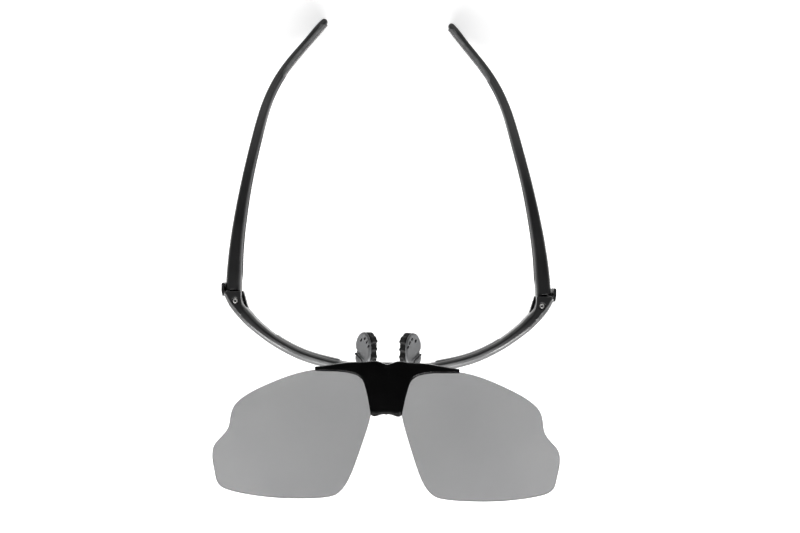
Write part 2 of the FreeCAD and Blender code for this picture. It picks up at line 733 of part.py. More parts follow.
def make_flip_washers():
    """A thin washer on each side of the fixed knuckle."""
    rings = []
    start = size("fixed_knuckle_half") + 0.06
    for side in (-1, 1):
        name = side_name(side)
        low = start if side > 0 else -start - 0.3
        disc = x_cylinder("washer_disc_" + name, "knuckle_radius - 0.2", low, low + 0.3)
        hole = x_cylinder("washer_hole_" + name, "pin_radius + 0.04", low - 1, low + 2)
        rings.append(cut("washer_" + name, disc, hole))
    group = doc.addObject("Part::Compound", "flip_washers")
    group.Links = rings
    finish_node(group, "flip_washers")


# ---------------------------------------------------------------- lens carrier and lenses

COVER_REAR = [(0.0, -44.8), (1.8, -44.3), (3.6, -43.6), (8.0, -43.8), (15.0, -44.2), (21.0, -45.1), (29.4, -46.5)]
COVER_FRONT = [(29.2, -48.0), (22.0, -48.1), (15.0, -48.6), (11.6, -49.7), (9.7, -51.4), (8.8, -53.6), (7.6, -58.0),
               (6.5, -63.6)]
COVER_LIP = [(6.4, -64.6), (5.4, -65.4), (2.8, -65.0), (0.0, -64.8)]
LENS_TOP = [(4.0, -50.0), (5.6, -47.8), (9.0, -46.9), (20.0, -47.0), (29.5, -47.8), (39.5, -50.4), (49.6, -54.7),
            (60.0, -60.7)]
LENS_STEP = [(63.6, -64.4), (65.0, -68.2), (65.8, -72.9), (69.7, -78.3), (72.6, -82.0), (73.4, -86.5),
             (72.2, -94.1)]
LENS_BOTTOM = [(71.2, -97.6), (69.6, -99.2), (65.6, -100.4), (57.0, -101.1), (45.0, -101.2), (32.0, -100.4),
               (24.0, -99.4)]
LENS_NASAL = [(20.0, -98.1), (17.2, -95.5), (13.1, -87.5), (9.0, -75.2), (6.6, -67.0), (4.7, -58.0)]


def sphere_centre():
    """Middle of the sphere that the lenses lie on."""
    return Vector(0, size("lens_apex_y"), size("lens_apex_height") - size("lens_radius"))


def sphere(name, radius):
    """A full sphere about the lens centre; its radius is an expression."""
    item = doc.addObject("Part::Sphere", name)
    bind(item, Radius=radius)
    item.Placement = FreeCAD.Placement(sphere_centre(), FreeCAD.Rotation(Z_AXIS, 90))
    return item


def upright_prism(wire):
    """A tall solid over an outline, through every layer of the carrier."""
    return Part.Face(wire).extrude(Z_AXIS * 60)


def mirrored_points(half):
    """A half outline and its mirror image, as one loop."""
    right = [Vector(x, y, 0) for x, y in half]
    left = [Vector(-point.x, point.y, 0) for point in reversed(right) if point.x > 0.01]
    return right + left


def make_lens(side):
    """One rimless lens cut from a spherical shell."""
    name = "lens_" + side_name(side)
    outline = LENS_TOP + LENS_STEP + LENS_BOTTOM + LENS_NASAL
    points = [Vector(side * x, y, 0) for x, y in outline]
    blank = shape_object("blank_" + name, upright_prism(spline_wire(points, 8)))
    outer = sphere("outer_" + name, "lens_radius + lens_thickness / 2")
    inner = sphere("inner_" + name, "lens_radius - lens_thickness / 2")
    finish_node(common(name, blank, cut("layer_" + name, outer, inner)), name)


def cover_wire():
    """Plan of the T-shaped cover: splines for its long edges, short straight ends."""
    edges = []
    for side in (1, -1):
        for run in (COVER_REAR, COVER_FRONT, COVER_LIP):
            curve = Part.BSplineCurve()
            curve.interpolate(Points=[Vector(side * x, y, 0) for x, y in run])
            edges.append(curve.toShape())
        for start, stop in ((COVER_REAR[-1], COVER_FRONT[0]), (COVER_FRONT[-1], COVER_LIP[0])):
            edges.append(Part.makeLine(Vector(side * start[0], start[1], 0), Vector(side * stop[0], stop[1], 0)))
    return Part.Wire(Part.__sortEdges__(edges))


def ball(radius):
    """A ball about the lens centre, with its seam in the middle plane."""
    solid = Part.makeSphere(radius)
    solid.Placement = FreeCAD.Placement(sphere_centre(), FreeCAD.Rotation(Z_AXIS, 90))
    return solid


def layer_radii():
    """Radii of the faces that the cover and the plate turn to the lens."""
    half = size("lens_thickness") / 2 + size("layer_gap")
    return size("lens_radius") + half, size("lens_radius") - half


CARRIER_SCREW_Y = [-51.0, -56.0, -61.0]


def plate_seat_height(y):
    """Height where a screw head bears on the underside of the plate."""
    radius = layer_radii()[1] - size("plate_thickness")
    middle = sphere_centre()
    return middle.z + math.sqrt(radius ** 2 - (y - middle.y) ** 2) + 0.35


def carrier_screw_holes(radius, low, high):
    """Round cutters on the three screw axes, from and to heights above each seat."""
    holes = []
    for y in CARRIER_SCREW_Y:
        seat = Vector(0, y, plate_seat_height(y) + low)
        holes.append(Part.makeCylinder(radius, high - low, seat))
    return holes


def make_lens_bridge():
    """Gloss T-shaped cover on top of both lenses, with a lip that hangs down in front."""
    inner = layer_radii()[0]
    outer = inner + size("cover_thickness")
    blank = upright_prism(cover_wire())
    cover = blank.common(ball(outer).cut(ball(inner)))
    lip = Part.makeBox(10.4, 1.5, 60, Vector(-5.2, -64.6, 0)).common(ball(outer - 0.5).cut(ball(inner - 3.3)))
    cover = cover.fuse(lip)
    for hole in carrier_screw_holes(size("small_screw") + 0.02, -1.0, 4.4):
        cover = cover.cut(hole)
    finish_node(shape_object("lens_bridge", cover.removeSplitter()), "lens_bridge")


PLATE_OUTLINE = [(0.0, -45.3), (3.6, -44.2), (8.0, -44.2), (14.0, -44.6), (20.0, -45.5), (25.0, -46.4), (25.2, -47.4),
                 (17.0, -47.9), (12.0, -48.8), (9.2, -51.2), (7.8, -54.6), (6.6, -60.0), (5.7, -62.9), (0.0, -62.9)]
RIB_OUTLINE = [(0.0, -45.3), (3.6, -44.2), (8.0, -44.2), (14.0, -44.6), (20.0, -45.5), (24.0, -46.2), (20.0, -46.6),
               (8.0, -46.4), (3.0, -47.4), (2.5, -50.0), (2.5, -62.9), (0.0, -62.9)]


def make_clamp_plate():
    """Plate under both lenses with a rib between them and the two moving knuckles."""
    top_radius, low_radius = layer_radii()
    plate = upright_prism(Part.makePolygon(closed(mirrored_points(PLATE_OUTLINE))))
    plate = plate.common(ball(low_radius).cut(ball(low_radius - size("plate_thickness"))))
    rib = upright_prism(Part.makePolygon(closed(mirrored_points(RIB_OUTLINE))))
    rib = rib.common(ball(top_radius - 0.05).cut(ball(low_radius - 0.2)))
    solid = plate.fuse(rib)
    inner = size("moving_knuckle_inner")
    width = size("moving_knuckle_outer") - inner
    for side in (-1, 1):
        start = inner if side > 0 else -inner - width
        knuckle = Part.makeCylinder(size("knuckle_radius"), width, flip_point(start), Vector(1, 0, 0))
        wall = Part.makeBox(width, 2.0, 6.4, Vector(start, size("flip_y") - 0.75, size("flip_height")))
        solid = solid.fuse([knuckle, wall])
        bore = Part.makeCylinder(size("knuckle_bore"), width + 2, flip_point(start - 1), Vector(1, 0, 0))
        solid = solid.cut(bore)
    for hole in carrier_screw_holes(size("small_screw") + 0.02, -2.0, 6.0):
        solid = solid.cut(hole)
    for seat in carrier_screw_holes(size("small_screw_head") + 0.05, -3.0, 0.0):
        solid = solid.cut(seat)
    finish_node(shape_object("lens_clamp_plate", solid.removeSplitter()), "lens_clamp_plate")


def closed(points):
    """The same points with the first one repeated at the end."""
    return points + points[:1]


def make_carrier_screws():
    """Three screws from below, through the plate and the rib into the cover."""
    places = [Vector(0, y, plate_seat_height(y)) for y in CARRIER_SCREW_Y]
    make_screw_group("carrier_screws", places, "4.2", True)


# ---------------------------------------------------------------- the whole object

make_brow_bar()
for side in (-1, 1):
    make_hinge_screw(side)
    make_threaded_insert(side)
    make_temple(side)
    make_nose_pad(side)
    make_lens(side)
make_nose_clip()
make_screw_group("nose_clip_screws", pair(CLIP_SCREW_SPACING, SEAT_Y, BAR_FLOOR - 3.2), "6", True)
make_flip_bracket()
make_detent_spring()
bracket_screw_seat = BAR_TOP + size("bracket_thickness") + 0.2
make_screw_group("bracket_screws", pair(BRACKET_SCREW_SPACING, SEAT_Y, bracket_screw_seat), "4.4", False)
make_flip_pin()
make_flip_washers()
make_lens_bridge()
make_clamp_plate()
make_carrier_screws()
doc.recompute()

for item in doc.Objects:
    if "Invalid" in item.State or "Error" in item.State:
        raise RuntimeError("%s did not compute: %s" % (item.Name, item.State))
for node in nodes:
    if node.Shape.isNull() or not node.Shape.isValid() or not node.Shape.Solids:
        raise RuntimeError("%s has no valid solid" % node.Label)

os.makedirs("parts", exist_ok=True)
for node in nodes:
    node.Shape.exportStep("parts/%s.step" % node.Label)
    print("%-24s %8.1f mm3  %d solids" % (node.Label, node.Shape.Volume, len(node.Shape.Solids)))
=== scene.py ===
"""Looks of the flip-up eyewear frame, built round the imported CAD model.

Lengths are in metres in the row frame: +X is to the right seen from above, -Y is the front, Z is up.
"""

import json
import math

import bmesh
import bpy
import numpy as np
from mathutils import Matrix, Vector
from mathutils.kdtree import KDTree


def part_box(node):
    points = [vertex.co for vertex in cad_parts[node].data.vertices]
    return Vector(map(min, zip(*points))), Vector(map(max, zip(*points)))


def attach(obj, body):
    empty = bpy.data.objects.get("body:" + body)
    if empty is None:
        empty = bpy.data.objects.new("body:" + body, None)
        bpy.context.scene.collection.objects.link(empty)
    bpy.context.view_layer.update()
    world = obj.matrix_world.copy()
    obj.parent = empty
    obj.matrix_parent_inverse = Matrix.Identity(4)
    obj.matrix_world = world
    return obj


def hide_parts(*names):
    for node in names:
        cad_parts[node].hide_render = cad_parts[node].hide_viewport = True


MM = 0.001

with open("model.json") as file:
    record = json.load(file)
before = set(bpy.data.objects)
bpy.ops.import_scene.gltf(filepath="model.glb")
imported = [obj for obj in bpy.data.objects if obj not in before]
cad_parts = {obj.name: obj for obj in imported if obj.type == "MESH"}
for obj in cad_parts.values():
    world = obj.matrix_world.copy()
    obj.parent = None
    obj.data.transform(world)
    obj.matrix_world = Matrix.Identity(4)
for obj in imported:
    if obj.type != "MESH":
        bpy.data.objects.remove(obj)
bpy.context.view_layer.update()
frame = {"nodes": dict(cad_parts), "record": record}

SENSOR_WIDTH = 36.0
CAMERA_FOCAL = 55.7
CAMERA_PLACE = (4.45 * MM, -5.25 * MM, 542 * MM)
CAMERA_ROLL = math.radians(1.0)

# The walls are white up to the first height on the unit sphere and fade to the ceiling at the second.
WALL_TOP = 0.30
CEILING_EDGE = 0.80
WALLS = (1, 1, 1, 1)
CEILING = (0.045, 0.045, 0.05, 1)
SURROUND_STRENGTH = 0.5
TABLE_GLOW = 0.58
TABLE_REACH = 3.0
# The floor lies a little lower than the frame's feet, so that no two faces coincide.
TABLE_SINK = 0.1 * MM

SIDES = (("left", -1), ("right", 1))


def make_camera():
    """Looks straight down on the frame, a degree out of square."""
    data = bpy.data.cameras.new("camera")
    data.sensor_width = SENSOR_WIDTH
    data.lens = CAMERA_FOCAL
    data.clip_start = 10 * MM
    data.clip_end = 20.0
    camera = bpy.data.objects.new("camera", data)
    camera.location = CAMERA_PLACE
    camera.rotation_euler = (0, 0, CAMERA_ROLL)
    bpy.context.scene.collection.objects.link(camera)
    bpy.context.scene.camera = camera


def make_softbox(name, place, aim, width, height, power):
    """One rectangular lamp that points at aim."""
    data = bpy.data.lights.new(name, "AREA")
    data.shape = "RECTANGLE"
    data.size = width
    data.size_y = height
    data.energy = power
    lamp = bpy.data.objects.new(name, data)
    lamp.location = place
    direction = Vector(aim) - Vector(place)
    lamp.rotation_euler = direction.to_track_quat("-Z", "Y").to_euler()
    bpy.context.scene.collection.objects.link(lamp)


def make_surround():
    """Pale studio walls under a dim ceiling, which keeps level black surfaces dark from above."""
    world = bpy.data.worlds.new("surround")
    world.use_nodes = True
    tree = world.node_tree
    place = tree.nodes.new("ShaderNodeTexCoord")
    axes = tree.nodes.new("ShaderNodeSeparateXYZ")
    ramp = tree.nodes.new("ShaderNodeValToRGB")
    tree.links.new(place.outputs["Generated"], axes.inputs[0])
    tree.links.new(axes.outputs["Z"], ramp.inputs["Fac"])
    tree.links.new(ramp.outputs["Color"], tree.nodes["Background"].inputs["Color"])
    stops = ramp.color_ramp.elements
    for stop, height, colour in zip(stops, (WALL_TOP, CEILING_EDGE), (WALLS, CEILING)):
        stop.position = height
        stop.color = colour
    tree.nodes["Background"].inputs["Strength"].default_value = SURROUND_STRENGTH
    bpy.context.scene.world = world


def make_lights():
    """A low front box for the sheen of the bar, where no lens mirrors it, and a weak one behind."""
    make_softbox("front_box", (0, -0.98, 0.27), (0, -0.04, 0.02), 1.9, 0.3, 50)
    make_softbox("back_box", (0, 1.0, 0.9), (0, 0, 0), 1.6, 0.5, 5)
    make_surround()
    bpy.context.scene.view_settings.view_transform = "Standard"


class Nodes:
    """A small builder for one material's node tree."""

    def __init__(self, name):
        self.material = bpy.data.materials.new(name)
        self.material.use_nodes = True
        self.tree = self.material.node_tree
        self.shader = self.tree.nodes["Principled BSDF"]
        self.output = self.tree.nodes["Material Output"]
        self.place = self.add("ShaderNodeTexCoord").outputs["Object"]

    def add(self, kind, **inputs):
        """A node of one kind with some of its inputs set."""
        node = self.tree.nodes.new(kind)
        for key, value in inputs.items():
            self.put(node.inputs[key.replace("_", " ")], value)
        return node

    def put(self, socket, value):
        """Links an output to a socket, or sets the socket to a plain value."""
        if isinstance(value, bpy.types.NodeSocket):
            self.tree.links.new(value, socket)
        else:
            socket.default_value = value

    def set(self, **inputs):
        """Sets inputs of the main shader."""
        for key, value in inputs.items():
            self.put(self.shader.inputs[key.replace("_", " ")], value)

    def noise(self, size, detail, stretch=(1, 1, 1)):
        """Cloudy noise whose lumps are about size across."""
        mapping = self.add("ShaderNodeMapping", Vector=self.place, Scale=stretch)
        node = self.add(
            "ShaderNodeTexNoise", Vector=mapping.outputs[0], Scale=1 / size, Detail=detail
        )
        return node.outputs["Fac"]

    def spread(self, value, low, high, start=0.0, end=1.0):
        """Maps value from start..end to low..high."""
        node = self.add("ShaderNodeMapRange")
        for index, number in enumerate((value, start, end, low, high)):
            self.put(node.inputs[index], number)
        return node.outputs[0]

    def mix(self, share, first, second):
        """Blend of two colours by share."""
        node = self.tree.nodes.new("ShaderNodeMix")
        node.data_type = "RGBA"
        self.put(node.inputs["Factor"], share)
        self.put(node.inputs[6], first)
        self.put(node.inputs[7], second)
        return node.outputs[2]

    def math(self, operation, first, second=0.0):
        """One arithmetic step on one or two values."""
        node = self.tree.nodes.new("ShaderNodeMath")
        node.operation = operation
        self.put(node.inputs[0], first)
        self.put(node.inputs[1], second)
        return node.outputs[0]

    def bump(self, height, depth, normal=None):
        """Normal of a relief whose full height is depth."""
        node = self.add("ShaderNodeBump", Height=height, Distance=depth, Strength=1.0)
        if normal is not None:
            self.put(node.inputs["Normal"], normal)
        return node.outputs["Normal"]

    def worn_edges(self):
        """1 on sharp outer edges, 0 elsewhere."""
        edge = self.add("ShaderNodeNewGeometry").outputs["Pointiness"]
        return self.spread(edge, 0.0, 1.0, 0.52, 0.62)


def grey(level, tint=0.0):
    """An almost neutral colour, bluer as tint grows."""
    return (level * (1 - tint), level, level * (1 + tint), 1)


def moulded_nylon(name, level, roughness, tint=0.02, index=1.5):
    """Nylon with a fine spark-eroded grain, cloudy gloss and rubbed edges."""
    nodes = Nodes(name)
    cloud = nodes.noise(9 * MM, 3.0)
    grain = nodes.noise(0.12 * MM, 6.0)
    base = nodes.mix(cloud, grey(level * 0.8, tint), grey(level * 1.25, tint))
    half_worn = nodes.math("MULTIPLY", nodes.worn_edges(), 0.5)
    rubbed = nodes.mix(half_worn, base, grey(level * 2.2, tint))
    patchy = nodes.spread(cloud, roughness * 0.88, roughness * 1.12, 0.3, 0.7)
    grainy = nodes.math("ADD", patchy, nodes.spread(grain, -0.03, 0.03, 0.3, 0.7))
    relief = nodes.bump(grain, 0.004 * MM)
    nodes.set(Base_Color=rubbed, Roughness=grainy, IOR=index, Normal=relief)
    return nodes.material


def gloss_nylon(name):
    """Polished black nylon with faint flow waves and hairline handling scratches."""
    nodes = Nodes(name)
    waves = nodes.noise(6 * MM, 2.0)
    scratches = nodes.noise(0.9 * MM, 8.0, stretch=(1, 14, 14))
    hair = nodes.spread(scratches, 0.0, 1.0, 0.66, 0.74)
    base = nodes.mix(waves, grey(0.0022), grey(0.0042))
    wavy = nodes.spread(waves, 0.10, 0.16, 0.3, 0.7)
    rough = nodes.math("ADD", wavy, nodes.math("MULTIPLY", hair, 0.12))
    relief = nodes.bump(hair, 0.002 * MM, nodes.bump(waves, 0.02 * MM))
    nodes.set(Base_Color=base, Roughness=rough, IOR=1.5, Normal=relief)
    return nodes.material


def rubber(name, level):
    """Matt rubber with patches of powdery bloom."""
    nodes = Nodes(name)
    bloom = nodes.noise(1.6 * MM, 5.0)
    fine = nodes.noise(0.08 * MM, 4.0)
    base = nodes.mix(nodes.spread(bloom, 0, 1, 0.35, 0.7), grey(level * 0.8), grey(level * 1.3))
    rough = nodes.spread(bloom, 0.56, 0.70, 0.3, 0.7)
    nodes.set(Base_Color=base, Roughness=rough, IOR=1.3, Normal=nodes.bump(fine, 0.006 * MM))
    return nodes.material


def metal(name, colour, roughness):
    """Turned metal with fine tool marks and dull patches."""
    nodes = Nodes(name)
    marks = nodes.noise(0.05 * MM, 3.0, stretch=(1, 1, 6))
    patches = nodes.noise(0.7 * MM, 4.0)
    dull = tuple(channel * 0.7 for channel in colour)
    base = nodes.mix(nodes.spread(patches, 0, 1, 0.35, 0.7), colour + (1,), dull + (1,))
    rough = nodes.spread(patches, roughness, roughness + 0.15, 0.3, 0.7)
    nodes.set(Base_Color=base, Metallic=1.0, Roughness=rough, Normal=nodes.bump(marks, 0.003 * MM))
    return nodes.material


def smoke_lens(name):
    """Tinted polycarbonate: each face lets part of the light through, and steep faces less, a painted
    shade for the longer slanting path through the tint.
    """
    nodes = Nodes(name)
    nodes.tree.nodes.remove(nodes.shader)
    geometry = nodes.add("ShaderNodeNewGeometry")
    face = nodes.add("ShaderNodeSeparateXYZ", Vector=geometry.outputs["Normal"])
    # Steep faces are painted darker: painted shade standing for the longer path through the tint at a
    # slant.
    edge = nodes.spread(nodes.math("ABSOLUTE", face.outputs["Z"]), 1.0, 0.0, 0.35, 0.75)
    cloud = nodes.noise(30 * MM, 2.0)
    tint = nodes.mix(cloud, (0.44, 0.44, 0.445, 1), (0.475, 0.475, 0.475, 1))
    shade = nodes.mix(edge, tint, (0.32, 0.32, 0.325, 1))
    clear = nodes.add("ShaderNodeBsdfTransparent", Color=shade)
    smudge = nodes.spread(nodes.noise(4 * MM, 5.0), 0.02, 0.07, 0.4, 0.75)
    gloss = nodes.add("ShaderNodeBsdfGlossy", Color=(1, 1, 1, 1), Roughness=smudge)
    fresnel = nodes.add("ShaderNodeFresnel", IOR=1.58)
    outside = nodes.math("SUBTRACT", 1.0, geometry.outputs["Backfacing"])
    share = nodes.math("MULTIPLY", fresnel.outputs[0], outside)
    both = nodes.add("ShaderNodeMixShader", Fac=share)
    nodes.put(both.inputs[1], clear.outputs[0])
    nodes.put(both.inputs[2], gloss.outputs[0])
    nodes.put(nodes.output.inputs["Surface"], both.outputs[0])
    return nodes.material


def light_table(name):
    """Pale matt floor, lit a little from below so that shadows on it stay faint."""
    nodes = Nodes(name)
    fibres = nodes.noise(1.5 * MM, 4.0)
    base = nodes.mix(fibres, grey(0.86), grey(0.90))
    nodes.set(Base_Color=base, Roughness=0.9, Emission_Color=base, Emission_Strength=TABLE_GLOW)
    return nodes.material


def make_floor():
    """The pale table under the frame."""
    mesh = bpy.data.meshes.new("floor")
    signs = ((-1, -1), (1, -1), (1, 1), (-1, 1))
    corners = [(x * TABLE_REACH, y * TABLE_REACH, 0) for x, y in signs]
    mesh.from_pydata(corners, [], [(0, 1, 2, 3)])
    mesh.materials.append(light_table("light_table"))
    floor = bpy.data.objects.new("floor", mesh)
    bpy.context.scene.collection.objects.link(floor)
    floor.location.z = -TABLE_SINK


def make_materials():
    """One material for each slot of the record, and the painted shade in the screw sockets."""
    return {
        "satin_nylon": moulded_nylon("satin_nylon", 0.010, 0.34, index=1.7),
        "frame_nylon": moulded_nylon("frame_nylon", 0.010, 0.38),
        "gloss_nylon": gloss_nylon("gloss_nylon"),
        "smoke_lens": smoke_lens("smoke_lens"),
        "black_silicone": rubber("black_silicone", 0.006),
        "grey_nylon": moulded_nylon("grey_nylon", 0.11, 0.5),
        "tip_rubber": rubber("tip_rubber", 0.09),
        "brass": metal("brass", (0.62, 0.45, 0.2), 0.25),
        "steel": metal("steel", (0.86, 0.85, 0.83), 0.42),
        "washer_nylon": moulded_nylon("washer_nylon", 0.6, 0.45, tint=-0.01),
        "coated_wire": moulded_nylon("coated_wire", 0.012, 0.3),
        # Near-black rubber painted into the screw sockets: painted shade of the recess.
        "socket_painted_shade": rubber("socket_painted_shade", 0.01),
    }


MATERIALS = make_materials()


def dress_cad_nodes():
    """Gives every CAD node the material of its slot in the record."""
    for part in frame["record"]["subparts"]:
        node = frame["nodes"][part["node"]]
        node.data.materials.clear()
        node.data.materials.append(MATERIALS[part["material_slot"]])


def hide_lens_shadows():
    """The clear lenses let the soft light through to the floor."""
    for node in ("lens_left", "lens_right"):
        frame["nodes"][node].visible_shadow = False


# ---------------------------------------------------------------- mesh tools, sizes in millimetres


def new_object(name, mesh):
    """A linked object for a mesh."""
    piece = bpy.data.objects.new(name, mesh)
    bpy.context.scene.collection.objects.link(piece)
    return piece


def mesh_object(name, points, faces):
    """An object from points in millimetres, its faces turned outwards."""
    mesh = bpy.data.meshes.new(name)
    mesh.from_pydata([Vector(point) * MM for point in points], [], faces)
    body = bmesh.new()
    body.from_mesh(mesh)
    bmesh.ops.recalc_face_normals(body, faces=body.faces)
    body.to_mesh(mesh)
    body.free()
    return new_object(name, mesh)


def smooth_line(points, per_run=8):
    """A Catmull-Rom curve through points of any size, per_run steps between neighbours."""
    known = np.array(points, float)
    known = np.vstack([2 * known[0] - known[1], known, 2 * known[-1] - known[-2]])
    line = []
    for before, start, stop, after in zip(known, known[1:], known[2:], known[3:]):
        for step in range(per_run):
            t = step / per_run
            line.append(
                start
                + 0.5 * t * (stop - before)
                + t * t * (before - 2.5 * start + 2 * stop - 0.5 * after)
                + t * t * t * (1.5 * (start - stop) + 0.5 * (after - before))
            )
    return line + [known[-2]]


def skin(name, rings):
    """A closed tube through rings of equally many points."""
    count = len(rings[0])
    points = [tuple(point) for ring in rings for point in ring]
    faces = [tuple(range(count)), tuple(range(len(points) - count, len(points)))]
    for first in range(0, len(points) - count, count):
        for step in range(count):
            ahead = (step + 1) % count
            faces.append((first + step, first + ahead, first + count + ahead, first + count + step))
    return mesh_object(name, points, faces)


def prism(name, outline, low, high):
    """An upright prism over a plan outline."""
    return skin(name, [[(x, y, z) for x, y in outline] for z in (low, high)])


def arc(centre, radius, start, stop, steps=16):
    """Plan points on an arc between two angles in degrees."""
    angles = [math.radians(start + (stop - start) * step / steps) for step in range(steps + 1)]
    return [(centre[0] + radius * math.cos(a), centre[1] + radius * math.sin(a)) for a in angles]


def disc(name, centre, radius, low, high):
    """An upright round bar of 48 sides."""
    return prism(name, arc(centre, radius, 0, 352.5, 47), low, high)


def block(name, low, high):
    """A box between two corners."""
    (x0, y0, z0), (x1, y1, z1) = low, high
    return prism(name, [(x0, y0), (x1, y0), (x1, y1), (x0, y1)], z0, z1)


def settle(piece):
    """Applies a piece's modifiers."""
    graph = bpy.context.evaluated_depsgraph_get()
    mesh = bpy.data.meshes.new_from_object(piece.evaluated_get(graph), depsgraph=graph)
    piece.modifiers.clear()
    piece.data = mesh


def join(name, parts):
    """One object holding the meshes of several, which are removed."""
    body = bmesh.new()
    for part in parts:
        body.from_mesh(part.data)
        bpy.data.objects.remove(part)
    mesh = bpy.data.meshes.new(name)
    body.to_mesh(mesh)
    body.free()
    return new_object(name, mesh)


def weld(piece, voxel, rounds):
    """Fuses overlapping solids into one skin of even quads and rounds its edges."""
    remesh = piece.modifiers.new("remesh", "REMESH")
    remesh.mode = "VOXEL"
    remesh.voxel_size = voxel * MM
    soften = piece.modifiers.new("soften", "SMOOTH")
    soften.factor = 0.5
    soften.iterations = rounds
    settle(piece)
    for face in piece.data.polygons:
        face.use_smooth = True


def carve(piece, cutters):
    """Takes closed cutters away from a piece."""
    tool = join("cutters", cutters)
    weld(tool, 0.16, 0)
    cut = piece.modifiers.new("cut", "BOOLEAN")
    cut.operation = "DIFFERENCE"
    cut.object = tool
    cut.solver = "EXACT"
    settle(piece)
    bpy.data.objects.remove(tool)


def cad_copy(node, name):
    """A loose copy of a CAD node."""
    return new_object(name, frame["nodes"][node].data.copy())


def finish_piece(piece, body, slot, node):
    """Dresses a piece and ties it to its body; it stands for the given CAD node."""
    piece.data.materials.clear()
    piece.data.materials.append(MATERIALS[slot])
    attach(piece, body)
    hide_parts(node)


def points_of(piece):
    """Vertex places and normals in millimetres, as arrays."""
    count = len(piece.data.vertices)
    places = np.zeros(count * 3)
    normals = np.zeros(count * 3)
    piece.data.vertices.foreach_get("co", places)
    piece.data.vertices.foreach_get("normal", normals)
    return places.reshape(-1, 3) / MM, normals.reshape(-1, 3)


def put_points(piece, places):
    """Writes vertex places given in millimetres."""
    piece.data.vertices.foreach_set("co", (places * MM).ravel())
    piece.data.update()


def ease(value, low, high):
    """0 below low, 1 above high, smooth between."""
    t = np.clip((value - low) / (high - low), 0, 1)
    return t * t * (3 - 2 * t)


def ridge(distance, crest, width):
    """1 at the crest, fading to nothing within about two widths of it."""
    return np.exp(-(((distance - crest) / width) ** 2))


def node_box(node):
    """Corners of a CAD node in millimetres."""
    low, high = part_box(node)
    return low / MM, high / MM


# ---------------------------------------------------------------- brow bar

# Plan of the right half of the bar: inner edge, then outer edge, from the middle to the end.
BAR_STATIONS = [
    (0.0, -46.6, 0.0, -50.9),
    (15.8, -45.5, 16.4, -49.6),
    (32.2, -41.7, 34.1, -45.8),
    (43.9, -36.5, 47.0, -39.9),
    (53.0, -29.9, 57.1, -32.9),
    (57.7, -25.2, 62.5, -28.0),
    (60.6, -22.0, 66.4, -23.3),
    (61.6, -18.8, 68.7, -19.0),
    (62.0, -16.9, 69.5, -16.9),
]
SCREW = (63.9, -20.8)
BAR_TOP, BAR_BOTTOM = 30.0, 22.0
EAR_TOP, EAR_BOTTOM = 27.0, 17.0
SQUARENESS = 4.5
RING_COUNT = 36
# From -1 inside to 1 outside, the top of the section starts to fall here, steeper over the blend.
SLOPE_START = -0.3
SLOPE_BLEND = 0.6
MIDDLE_FALL, END_FALL = 2.2, 1.0

FLANGE_START, FLANGE_END = 20.0, 46.5
FLANGE_WIDTH = 1.2
FLANGE_HALF_HEIGHT = 2.4
FLANGE_PROUD = 0.35

# The flat seats of the flip bracket above and of the nose clip below: front and back, then half widths.
SEAT_DEPTH = (-50.6, -46.2)
CLEARED_DEPTH = (-53.0, -43.0)
SEAT_SPLIT = 26.0
TOP_SEAT_HALF = 11.0
LOW_SEAT_HALF = 7.5

CHEEK_SHOULDER = 25.2
LOW_CHEEK_TOP = 21.0
TAB_LEVELS = (17.4, 26.6)
SILL_LEVELS = (16.4, 17.15)
TONGUE_LEVELS = (20.3, 23.7)
TONGUE_CORNER = 2.8
SCREW_HOLE_RADIUS = 0.78
HEAD_HOLE_RADIUS = 1.45
HEAD_SEAT = 26.0
INSERT_HOLE_RADIUS = 1.42
INSERT_SEAT = 19.6
# Cutters reach from well below the bar to well above it.
BELOW_BAR, ABOVE_BAR = 10.0, 34.0


def squarish(angle):
    """A point of a unit square with round corners."""
    cosine, sine = math.cos(angle), math.sin(angle)
    reach = math.copysign(abs(cosine) ** (2 / SQUARENESS), cosine)
    lift = math.copysign(abs(sine) ** (2 / SQUARENESS), sine)
    return reach, lift


def soft_slope(reach):
    """0 before the slope's start, then a slope that steepens over the blend to 1 in 1."""
    past = max(0.0, reach - SLOPE_START)
    return past ** 2 / (2 * SLOPE_BLEND) if past < SLOPE_BLEND else past - SLOPE_BLEND / 2


def end_share(x):
    """0 in the middle of the bar, growing with the square of x to 1 at the screws."""
    return min(1.0, abs(x) / SCREW[0]) ** 2


def bar_levels(share):
    """Top and bottom of the bar, which sink towards its ends."""
    top = BAR_TOP - (BAR_TOP - EAR_TOP) * share
    bottom = BAR_BOTTOM - (BAR_BOTTOM - EAR_BOTTOM) * share
    return top, bottom


def bar_ring(side, inner_x, inner_y, outer_x, outer_y):
    """Section of the bar: the outward part of its top slopes down."""
    share = end_share((inner_x + outer_x) / 2)
    top, bottom = bar_levels(share)
    fall = MIDDLE_FALL - (MIDDLE_FALL - END_FALL) * share ** 3
    ring = []
    for step in range(RING_COUNT):
        reach, lift = squarish(2 * math.pi * (step + 0.5) / RING_COUNT)
        x = inner_x + (outer_x - inner_x) * (reach + 1) / 2
        y = inner_y + (outer_y - inner_y) * (reach + 1) / 2
        z = bottom + (top - bottom) * (lift + 1) / 2
        ring.append((side * x, y, z - fall * soft_slope(reach) * max(0.0, lift)))
    return ring


def bar_beam():
    """The whole curved bar as one tube."""
    half = smooth_line(BAR_STATIONS)
    left = [bar_ring(-1, *row) for row in reversed(half[1:])]
    right = [bar_ring(1, *row) for row in half]
    return skin("beam", left + right)


def bar_flange(side):
    """The thin strip moulded along the inner edge between the middle and the endpiece."""
    rings = []
    for x, y in smooth_line([row[:2] for row in BAR_STATIONS[1:5]]):
        if FLANGE_START < x < FLANGE_END:
            middle = sum(bar_levels(end_share(x))) / 2
            low, high = middle - FLANGE_HALF_HEIGHT, middle + FLANGE_HALF_HEIGHT
            face = (side * x, y + FLANGE_PROUD)
            buried = (side * (x + FLANGE_WIDTH), y - FLANGE_WIDTH)
            rings.append([face + (low,), buried + (low,), buried + (high,), face + (high,)])
    return skin("flange", rings)


